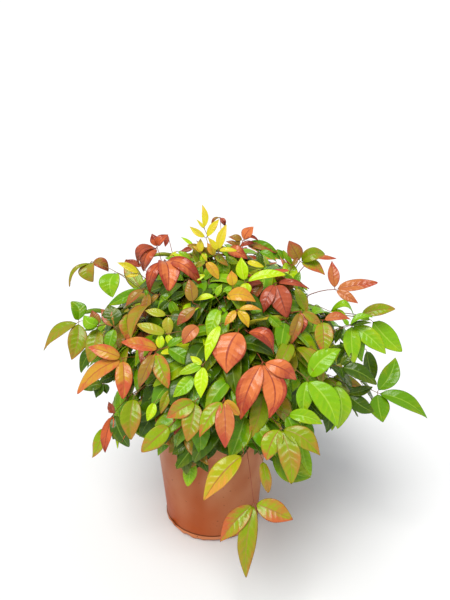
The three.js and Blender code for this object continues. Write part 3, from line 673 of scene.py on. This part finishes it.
def sight(pixel):
    """The unit vector from the eye through a pixel."""
    x, y = (pixel[0] - MIDDLE[0]) / CAMERA["focal_px"], (MIDDLE[1] - pixel[1]) / CAMERA["focal_px"]
    return unit(FORWARD + RIGHT * x + LIFT * y)


def hub_at(pixel, reach):
    """The nearest point in sight through a pixel that lies at a reach from the crown's centre."""
    way = sight(pixel)
    offset = EYE - CROWN["centre"]
    along = -dot(offset, way)
    inside = reach**2 - dot(offset, offset) + along**2
    return EYE + way * (along - math.sqrt(max(inside, 0.0)))


def pixel_of(place):
    """Where a point is seen."""
    offset = place - EYE
    scale = CAMERA["focal_px"] / dot(offset, FORWARD)
    return MIDDLE[0] + scale * dot(offset, RIGHT), MIDDLE[1] - scale * dot(offset, LIFT)


def in_the_open(place):
    x, y = pixel_of(place)
    return any((x - px) ** 2 + (y - py) ** 2 < radius**2 for px, py, radius in OPEN)


def tip_at(hub, pixel, toward):
    """Where a leaflet's tip lies behind its pixel, if it leans towards the eye by some degrees."""
    way = sight(pixel)
    level = EYE + way * float(np.dot(hub - EYE, FORWARD) / np.dot(way, FORWARD))
    flat = norm(level - hub)
    nearer = flat * math.tan(math.radians(toward))
    return level - way * nearer / dot(way, FORWARD)


def add_feature(leaves, stalks, hub, outward, feature):
    for x, y, *rest in feature["leaves"]:
        tint = rest.pop() if rest and isinstance(rest[-1], str) else feature["tint"]
        ratio, toward, arch, sway = (*rest, *USUAL_LEAF[len(rest) :])
        rng = chance.Random(f"{x:g} {y:g}")
        tip = tip_at(hub, (x, y), toward)
        way = unit(tip - hub)
        length = norm(tip - hub)
        facing = square_to(unit(EYE - hub) + UP * SEEN_FACING["up"] + outward * SEEN_FACING["outward"], way)
        facing = unit(facing + np.cross(facing, way) * rng.uniform(-SEEN_FACING["turn"], SEEN_FACING["turn"]))
        base = petiolule(stalks, hub, way, PETIOLULE["side"] * min(1, length / LEAFLET_LENGTH), tint)
        add_leaflet(leaves, base, tip, square_to(facing, way), tint, rng, "seen", arch, ratio, sway)


def grow():
    """Every mass's leaves and stalks."""
    piles = {name: (Pile(), Pile()) for name in MASSES}
    features = []
    for feature in FEATURES:
        place = hub_at(feature["hub"], feature["reach"])
        features.append((feature, place, unit(place - CROWN["centre"])))
    ends = stalk_ends()
    for name in MASSES:
        leaves, stalks = piles[name]
        middle = middle_of[name]
        foot = CROWN["centre"] + middle * MASS_STEM["foot"]
        stem = [foot, foot + middle * MASS_STEM["length"]]
        limb(stem, MASS_STEM["radii"], LIMBS["mass_stem"], "stalk_brown", stalks)
        own = [end for end in ends if nearest_mass(end["direction"]) == name]
        jobs = []
        for i, end in enumerate(own):
            if any(angle_between(way, end["direction"]) < FEATURE_SPACING for _, _, way in features):
                end["place"] = lerp(CROWN["centre"], end["place"], BEHIND)
            start = lerp(stem[0], stem[1], 1 - STALK["spread"] * (i + 1) / (len(own) + 1))
            jobs.append((start, end["place"], end["direction"], STALK["arch"], end["seed"], None))
        for feature, place, way in features:
            if nearest_mass(way) == name:
                seed = round(feature["hub"][0] * 1000 + feature["hub"][1])
                start = lerp(stem[0], stem[1], chance.Random(seed).random())
                jobs.append((start, place, way, feature["arch"] or STALK["arch"], seed, feature))
        for start, place, direction, arch, seed, feature in jobs:
            draw, rng = seeded(seed), chance.Random(seed + 1)
            elevation = math.degrees(math.asin(direction[2]))
            bend = lerp(start, place, 0.5) + UP * norm(place - start) * arch
            curve = [start, bend, place]
            usual = spray_leaflets(direction, unit(place - bend), LEAFLET_LENGTH, draw)
            tint = feature["tint"] if feature else deal(belt_at(elevation), rng)
            if feature:
                add_feature(leaves, stalks, place, direction, feature)
            grown = feature or add_spray(leaves, stalks, place, usual, tint, "usual")
            bare = bool(feature and feature["bare"])
            end = 1 if grown else FORK["at"]
            limb(curve, STALK_RADII, LIMBS["stalk"], stalk_tint(tint), stalks, end, SLENDER if bare else 1)
            if bare:
                continue
            for at, inner in ((FORK["at"], False), (FINER["at"], True)):
                if inner and rng.random() < FINER["fewest"]:
                    continue
                fork = bezier(curve, [at])[0]
                level = unit(direction + UP * SPRAY["lift"])
                onward = square_to(unit(bezier(curve, [at + 0.01])[0] - fork), level)
                for angle in (FORK["angle"], -FORK["angle"]):
                    way = turned(onward, level, angle + FORK["jitter"] * (draw() - 0.5))
                    hub = fork + way * (SIDE_STALK["length"] + SIDE_STALK["spread"] * draw())
                    leaflets = spray_leaflets(direction, way, LEAFLET_LENGTH, draw)
                    hidden = inner or feature is not None
                    spray_tint = deal(INNER_BELT if hidden else belt_at(elevation - LOWER), rng)
                    if not hidden and rng.random() < OWN_TINT:
                        spray_tint = tint
                    if add_spray(leaves, stalks, hub, leaflets, spray_tint, "plain" if inner else "usual"):
                        limb([fork, hub], SIDE_RADII, LIMBS["side_stalk"], stalk_tint(spray_tint), stalks)
    return piles


# ---------------------------------------------------------------- materials

def linear(code):
    """A hexadecimal screen colour as the renderer's own values."""
    values = [int(code[i : i + 2], 16) / 255 for i in (0, 2, 4)]
    return tuple(v / 12.92 if v <= 0.04045 else ((v + 0.055) / 1.055) ** 2.4 for v in values)


SHINE = 0.32
RELIEF = 0.0006  # metres
LEAF = dict(roughness=0.24, bump=0.35, bump_scale=420)
RIB_ROUGHNESS = 0.45
UNDERSIDE = dict(pale="98a048", share=0.25, shade=0.85, roughness=0.62)  # the blade's colour, paler and in shade
STALKS = {"stalk_red": ("94482e", 0.5), "stalk_brown": ("8a6a3a", 0.55)}  # colour and roughness
POT_COLORS = {  # low and high of the blotches, and the colour towards the foot
    "pot": ("a8582e", "c68860", "ac4c1a"),
    "pot_lip": ("c07850", "d49474", "cc7c50"),
    "pot_seam": ("6a3418", "8a4622", "70381a"),
}
DEEPER = dict(span=(0.02, 0.13), shares=(0.75, 0))  # how much of that colour there is, by height in metres
SPECKS = dict(scale=260, span=(0.7, 0.75), shares=(0, 0.7), color="4a2412")
PLASTIC = dict(roughness=0.4, bump=0.12, bump_scale=90)
PLASTIC_BLEND = dict(scale=13, detail=2, stretch=(1, 1, 0.6), contrast=(0.4, 0.62))
LOOSE = dict(roughness=0.9, bump=0.6, bump_scale=500)
LOOSE_BLEND = dict(scale=160, detail=5)
BARK = dict(roughness=0.8, bump=0.6, bump_scale=700)
BARK_BLEND = dict(scale=150, detail=6, stretch=(1, 1, 0.25))
BARK_COLORS = ("6b4a30", "4a2e1c", "8f6a48")
MIX_COLORS = {"loam": ("1c120b", "38251a"), "bark_chip": ("3a2417", "6b452c"), "pale_chip": ("6a4a30", "94714e")}


def wire(material, node, inputs):
    """Sets a node's inputs; each is a value, or the output that leads to it."""
    for name, value in inputs.items():
        if isinstance(value, bpy.types.NodeSocket):
            material.node_tree.links.new(value, node.inputs[name])
        else:
            node.inputs[name].default_value = value


def add_node(material, kind, output, inputs, **settings):
    """A node with its settings and inputs; returns the named output."""
    node = material.node_tree.nodes.new(f"ShaderNode{kind}")
    for name, value in settings.items():
        setattr(node, name, value)
    wire(material, node, inputs)
    return node.outputs[output]


def add_range(material, value, span, shares):
    """Turns the span that a value runs through into shares."""
    inputs = {"Value": value, "From Min": span[0], "From Max": span[1], "To Min": shares[0], "To Max": shares[1]}
    return add_node(material, "MapRange", "Result", inputs)


def coordinates(material):
    return material.node_tree.nodes["Texture Coordinate"].outputs["Object"]


def shader(material):
    return material.node_tree.nodes["Principled BSDF"]


def node_material(name, color, roughness, bump=0.0, bump_scale=300.0, spread=0.12):
    """A plain colour, with a little of a noise in its roughness and its relief."""
    material = bpy.data.materials.new(name)
    material.use_nodes = True
    where = add_node(material, "TexCoord", "Object", {})
    noise = add_node(material, "TexNoise", "Fac", {"Scale": bump_scale, "Detail": 3, "Vector": where})
    rough = add_range(material, noise, (0, 1), (roughness - spread, roughness + spread))
    wire(material, shader(material), {"Base Color": (*color, 1), "Specular IOR Level": SHINE, "Roughness": rough})
    if bump:
        relief = add_node(material, "Bump", "Normal", {"Strength": bump, "Distance": RELIEF, "Height": noise})
        wire(material, shader(material), {"Normal": relief})
    return material


def blended(material, low, high, scale, detail, stretch=(1, 1, 1), contrast=(0.35, 0.65)):
    """A colour that a noise leads from one to another."""
    where = add_node(material, "Mapping", "Vector", {"Scale": stretch, "Vector": coordinates(material)})
    noise = add_node(material, "TexNoise", "Fac", {"Scale": scale, "Detail": detail, "Vector": where})
    color = add_node(material, "ValToRGB", "Color", {"Fac": noise})
    for stop, at, code in zip(color.node.color_ramp.elements, contrast, (low, high)):
        stop.position = at
        stop.color = (*linear(code), 1)
    return color


def leaf_materials():
    made = {}
    for tint, (blade, margin, _, rib) in TINTS.items():
        inside, outside = np.array(linear(blade)), np.array(linear(margin))
        for step in range(STEPS):
            color = lerp(inside, outside, step / (STEPS - 1))
            made[f"{tint}_{step}"] = node_material(f"leaf_{tint}_{step}", color, **LEAF)
        made[f"{tint}_rib"] = node_material(f"leaf_{tint}_rib", linear(rib), RIB_ROUGHNESS)
        pale = lerp(inside, np.array(linear(UNDERSIDE["pale"])), UNDERSIDE["share"]) * UNDERSIDE["shade"]
        made[f"{tint}_under"] = node_material(f"leaf_{tint}_under", pale, UNDERSIDE["roughness"])
    for name, (code, roughness) in STALKS.items():
        made[name] = node_material(name, linear(code), roughness)
    return made


def pot_material(name, low, high, foot):
    """Terracotta-coloured plastic: soft broad blotches, deeper in colour to its foot, and a few dark specks."""
    material = node_material(name, linear(low), **PLASTIC)
    color = blended(material, low, high, **PLASTIC_BLEND)
    where = coordinates(material)
    height = add_node(material, "SeparateXYZ", "Z", {"Vector": where})
    specks = add_node(material, "TexNoise", "Fac", {"Scale": SPECKS["scale"], "Vector": where})
    for value, change, code in ((height, DEEPER, foot), (specks, SPECKS, SPECKS["color"])):
        share = add_range(material, value, change["span"], change["shares"])
        inputs = {"Factor": share, "A": color, "B": (*linear(code), 1)}
        color = add_node(material, "Mix", "Result", inputs, data_type="RGBA")
    wire(material, shader(material), {"Base Color": color, "Specular IOR Level": SHINE / 2})
    return material


def grainy_material(name, color, low, high, grain, blend):
    material = node_material(name, linear(color), **grain)
    wire(material, shader(material), {"Base Color": blended(material, low, high, **blend)})
    return material


def pot_materials():
    return {name: pot_material("pot_plastic" if name == "pot" else name, *codes) for name, codes in POT_COLORS.items()}


def mix_materials():
    return {
        name: grainy_material(name, low, low, high, LOOSE, LOOSE_BLEND) for name, (low, high) in MIX_COLORS.items()
    }


def bark_materials():
    return {"bark": grainy_material("bark", *BARK_COLORS, BARK, BARK_BLEND)}


# ---------------------------------------------------------------- pot, potting mix, main stem and canes

POT_SIDES, MIX_SIDES, STEM_SIDES = 180, 72, 96
SEAM = (11, 13)  # the rings of the pot after which its seam starts and ends
DENTS = (  # azimuth, height, half-widths in degrees and millimetres, and how far in
    (352, 70, 16, 70, 2.0), (20, 110, 12, 80, 1.6), (318, 60, 20, 60, 1.8), (335, 28, 9, 26, 1.4),
    (48, 60, 18, 70, 1.6), (100, 90, 22, 60, 1.6), (150, 50, 18, 60, 1.8), (205, 100, 20, 60, 1.5),
    (255, 60, 20, 70, 1.8),
)
FOOT_WAVES = ((6, 2.6, 0.4), (13, 2.2, 2.0), (29, 1.6, 4.1))  # the ragged lower edge: waves around, depth and phase
CHIPPED = ((306, 12, 7), (330, 4, 3), (345, 5, 3))  # where more is gone: azimuth and half-width in degrees, depth


def radius_at(z):
    """The pot's outer radius at a height, without its collar and foot."""
    return lerp(POT["base"], POT["rim"], z / POT["height"])


def turned_pile(profile, sides, slots, shape):
    """A skin of revolution through (radius, height) pairs from axis to axis; shape() moves each ring's points."""
    around = np.linspace(0, 2 * math.pi, sides, endpoint=False)
    inner = enumerate(profile[1:-1])
    rings = [shape(np.full(sides, float(r)), np.full(sides, float(z)), around, i) for i, (r, z) in inner]
    points = [np.column_stack([r * np.sin(around), -r * np.cos(around), z]) for r, z in rings]
    points += [np.array([[0, 0, profile[0][1]], [0, 0, profile[-1][1]]], float)]
    n = len(rings)
    faces = [(n * sides, (j + 1) % sides, j) for j in range(sides)] + bands(n, sides)
    names = [slots(i) for i in (0, *range(n - 1)) for _ in range(sides)]
    last = (n - 1) * sides
    faces += [(n * sides + 1, last + j, last + (j + 1) % sides) for j in range(sides)]
    names += [slots(n - 1)] * sides
    pile = Pile()
    pile.add(np.concatenate(points), faces, names)
    return pile


def spaced(low, high, count):
    """Pairs between two, without the first."""
    return [tuple(lerp(np.array(low, float), np.array(high, float), i / count)) for i in range(1, count + 1)]


def apart(azimuth, other):
    return (azimuth - other + 180) % 360 - 180


def pot_pile():
    height, rim, base, wall, floor = (POT[key] for key in ("height", "rim", "base", "wall", "floor"))
    foot, lip, step = (POT[key] for key in ("foot", "lip", "step"))
    collar, seam = height - POT["collar"], foot + 1.6
    outline = [(0, 1.5), (base - 8, 1.5), (base - 7, 0), (base - 6, 0), (base - 5, 5)]
    outline += [(base - 1.4, 6), (base - 0.9, 0), (base + lip, 0)]
    outline += spaced(outline[-1], (radius_at(foot) + lip, foot), 6)
    outline += [(radius_at(foot) - 0.5, foot + 0.5), (radius_at(seam), seam)]
    outline += spaced(outline[-1], (radius_at(collar), collar), 44)
    outline += [(radius_at(collar) + step * 0.7, collar + 0.5), (radius_at(collar) + step, collar + 1.6)]
    outline += spaced(outline[-1], (rim + step - 0.6, height - 0.6), 10)
    outline += [(rim + step - 1.2, height), (rim - wall + 0.5, height), (rim - wall, height - 0.6)]
    outline += spaced(outline[-1], (radius_at(floor) - wall, floor), 12)
    outline += [(0, floor)]

    def dented(r, z, around, _):
        azimuth = np.degrees(around)
        push = np.zeros_like(r)
        for at, level, wide, tall, depth in DENTS:
            push += depth * np.exp(-((apart(azimuth, at) / wide) ** 2) - ((z - level) / tall) ** 2)
        push *= np.clip((z - 4) / 20, 0, 1) * np.clip((height - z) / 40, 0, 1)
        ragged = sum(depth * (0.5 + 0.5 * np.sin(waves * around + phase)) for waves, depth, phase in FOOT_WAVES)
        ragged += sum(depth * np.exp(-((apart(azimuth, at) / wide) ** 2)) for at, wide, depth in CHIPPED)
        low = np.clip(1 - z / foot, 0, 1)
        return r - push + 0.3 * ragged * low, z + ragged * low * (r > base - 1.2)

    def slot(ring):
        return ("pot_lip", "pot_seam", "pot")[(ring > SEAM[0]) + (ring > SEAM[1])]

    return turned_pile(outline, POT_SIDES, slot, dented)


MIX_TOP = POT["height"] - MIX["below_rim"]
STEM_FOOT = MIX_TOP + MIX["rise"] + CLEARANCE
CHIPS = dict(seed=5, count=420, least=3.5, most=9.0, flat=0.35, pale=0.25)
BOX_CORNERS = [(x, y, z) for z in (-1, 1) for x, y in ((-1, -1), (1, -1), (1, 1), (-1, 1))]
BOX_FACES = [(3, 2, 1, 0), (4, 5, 6, 7), (0, 1, 5, 4), (1, 2, 6, 5), (2, 3, 7, 6), (3, 0, 4, 7)]


def mix_pile():
    """The potting mix: an uneven loam with chips of bark on top."""
    rng = np.random.default_rng(CHIPS["seed"])
    bottom = POT["floor"] + CLEARANCE
    top_radius = radius_at(MIX_TOP) - POT["wall"] - MIX["gap"]
    outline = [(0, bottom), (radius_at(bottom) - POT["wall"] - MIX["gap"], bottom)]
    outline += spaced(outline[-1], (top_radius, MIX_TOP - 1), 8)
    outline += [(top_radius * share, MIX_TOP + MIX["rise"] * (1 - share)) for share in np.linspace(0.96, 0.08, 16)]
    outline += [(0, MIX_TOP + MIX["rise"])]

    def uneven(r, z, around, i):
        rough = rng.uniform(-1.6, 0.6, len(r)) if 9 < i < len(outline) - 6 else 0
        return r, z + rough

    pile = turned_pile(outline, MIX_SIDES, lambda _: "loam", uneven)
    for _ in range(CHIPS["count"]):
        away = math.sqrt(rng.uniform(0.03, 0.93)) * top_radius
        turn = rng.uniform(0, 2 * math.pi)
        size = rng.uniform(CHIPS["least"], CHIPS["most"])
        level = MIX_TOP + MIX["rise"] * (1 - away / top_radius)
        middle = np.array([away * math.sin(turn), -away * math.cos(turn), level])
        long_way = unit(rng.normal(size=3) * (1, 1, CHIPS["flat"]))
        across = square_to(rng.normal(size=3), long_way)
        third = np.cross(long_way, across)
        corners = [
            middle + long_way * x * size / 2 * rng.uniform(0.7, 1.1) + across * y * size / 4 * rng.uniform(0.6, 1.1)
            + third * z * size * CHIPS["flat"] / 2 * rng.uniform(0.6, 1.1)
            for x, y, z in BOX_CORNERS
        ]
        kind = "pale_chip" if rng.random() < CHIPS["pale"] else "bark_chip"
        pile.add(np.array(corners), BOX_FACES, [kind] * len(BOX_FACES))
    return pile


RIBS = dict(around=11, depth=0.07, second=23, fine=0.035)
STEM_BARK = dict(wander=9, phase=0.7, drawn_in=0.06, rings=0.04, ring_gap=13, ring_width=1.1)
CANE_BARK = dict(ways=44, sides=28, wander=6, phase=1.3, drawn_in=0.12, rings=0.16, ring_count=5, ring_width=0.07)


def ribbed(around, along, phase):
    """A share added to a limb's radius: lengthways ribs that wander."""
    wander = 0.5 * np.sin(3.1 * along + phase)
    ribs = RIBS["depth"] * np.sin(RIBS["around"] * around + wander * 3 + phase)
    fine = RIBS["fine"] * np.sin(RIBS["second"] * around - wander * 5 + 2 * phase)
    return ribs + fine


def stem_pile():
    """The short main stem with its flared foot and furrowed bark."""
    foot, top = STEM_FOOT, STEM_FOOT + STEM["height"]
    flare = foot + STEM["flare"]
    outline = [(0, foot), (STEM["base"], foot)]
    outline += spaced(outline[-1], ((STEM["base"] + STEM["waist"]) / 2, foot + STEM["flare"] / 3), 4)
    outline += spaced(outline[-1], (STEM["waist"], flare), 6)
    outline += spaced(outline[-1], (STEM["top"], top - 1), 30)
    outline += [(STEM["top"] * 0.9, top), (0, top)]

    def furrowed(r, z, around, _):
        share = ribbed(around, (z - foot) / STEM_BARK["wander"], STEM_BARK["phase"]) - STEM_BARK["drawn_in"]
        off = (z - foot) % STEM_BARK["ring_gap"] - STEM_BARK["ring_gap"] / 2
        rings = STEM_BARK["rings"] * np.exp(-((off / STEM_BARK["ring_width"]) ** 2))
        return r * (1 + share + rings), z

    return turned_pile(outline, STEM_SIDES, lambda _: "bark", furrowed)


def cane_curve(name):
    """The source's curve: square out of the main stem, then in line with the mass's stem."""
    azimuth, elevation = MASSES[name]
    outward = UP if elevation == 90 else heading(azimuth, 0)
    if elevation == 90:
        root = UP * (STEM_FOOT + STEM["height"])
    else:
        lower, upper, crown = CANE["levels"]
        low = lower if list(MASSES).index(name) % 2 == 0 else upper
        level = low if elevation < LOW_CANES else crown
        flare = STEM["flare"] / STEM["height"]
        around = lerp(STEM["waist"], STEM["top"], (level - flare) / (1 - flare))
        root = outward * around + UP * (STEM_FOOT + level * STEM["height"])
    tip = CROWN["centre"] + middle_of[name] * MASS_STEM["foot"]
    reach = norm(tip - root) * CANE["bend"]
    return [root, root + outward * reach, tip - middle_of[name] * reach, tip]


def cane_pile(name):
    """A cane with ribbed bark, swollen where leaves once sat."""
    ways, sides = CANE_BARK["ways"], CANE_BARK["sides"]
    path = bezier(cane_curve(name), np.linspace(0, 1, ways))
    tangent = np.gradient(path, axis=0)
    side = square_to(np.array([0.3, 0.5, 0.2]), unit(tangent[0]))
    phase = list(MASSES).index(name) * CANE_BARK["phase"]
    around = np.linspace(0, 2 * math.pi, sides, endpoint=False)
    points = []
    for i, (place, way) in enumerate(zip(path, tangent)):
        share = i / (ways - 1)
        side = square_to(side, unit(way))
        other = np.cross(unit(way), side)
        radius = lerp(CANE["base"], CANE["tip"], share) * (1 - CANE_BARK["drawn_in"])
        off = (share * CANE_BARK["ring_count"] + phase) % 1 - 0.5
        rings = CANE_BARK["rings"] * math.exp(-((off / CANE_BARK["ring_width"]) ** 2))
        radii = radius * (1 + ribbed(around, share * CANE_BARK["wander"], phase) + rings)
        points.append(place + np.outer(radii * np.cos(around), side) + np.outer(radii * np.sin(around), other))
    faces = bands(ways, sides)
    faces += [tuple(reversed(range(sides))), tuple(range((ways - 1) * sides, ways * sides))]
    pile = Pile()
    pile.add(np.concatenate(points), faces, ["bark"] * len(faces))
    return pile


# ---------------------------------------------------------------- making

def finish_piece(pile, name, made, node=None):
    piece = pile.build(name, made)
    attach(piece, "root")
    if node:
        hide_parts(node)


greens = leaf_materials()
for name, (leaves, stalks) in grow().items():
    finish_piece(leaves, f"leaves_{name}", greens, f"foliage_{name}")
    finish_piece(stalks, f"stalks_{name}", greens)
finish_piece(pot_pile(), "pot_shell", pot_materials(), "pot")
finish_piece(mix_pile(), "bark_mix", mix_materials(), "potting_mix")
bark = bark_materials()
finish_piece(stem_pile(), "ribbed_stem", bark, "main_stem")
for name in MASSES:
    finish_piece(cane_pile(name), f"ribbed_cane_{name}", bark, f"cane_{name}")

# ---------------------------------------------------------------- stage, light and camera

LIGHT = dict(around=0.55, key=2.6, key_width=34, key_tilt=28, key_turn=-25, key_color=(1, 0.97, 0.9))
FLOOR = dict(half=30, color=(0.86, 0.88, 0.92), roughness=0.9)

corners = [(x * FLOOR["half"], y * FLOOR["half"], 0) for x, y in ((-1, -1), (1, -1), (1, 1), (-1, 1))]
floor_mesh = bpy.data.meshes.new("floor")
floor_mesh.from_pydata(corners, [], [(0, 1, 2, 3)])
floor = new_object("floor", floor_mesh)
floor_mesh.materials.append(node_material("floor_paper", FLOOR["color"], FLOOR["roughness"]))

world = bpy.data.worlds.new("studio")
bpy.context.scene.world = world
world.use_nodes = True
world.node_tree.nodes["Background"].inputs["Color"].default_value = (1, 1, 1, 1)
world.node_tree.nodes["Background"].inputs["Strength"].default_value = LIGHT["around"]

key_data = bpy.data.lights.new("key", "SUN")
key_data.energy = LIGHT["key"]
key_data.color = LIGHT["key_color"]
key_data.angle = math.radians(LIGHT["key_width"])
key = new_object("key", key_data)
key.rotation_euler = (math.radians(LIGHT["key_tilt"]), 0, math.radians(LIGHT["key_turn"]))

camera_data = bpy.data.cameras.new("camera")
camera_data.sensor_fit = "HORIZONTAL"
camera_data.sensor_width = CAMERA["sensor"]
camera_data.lens = CAMERA["focal_px"] * CAMERA["sensor"] / CAMERA["width_px"]
camera_data.clip_start = 0.01
camera = new_object("camera", camera_data)
camera.location = EYE * MM
camera.rotation_euler = (math.radians(90 - CAMERA["pitch"]), 0, 0)
bpy.context.scene.camera = camera
bpy.context.scene.view_settings.view_transform = "Standard"
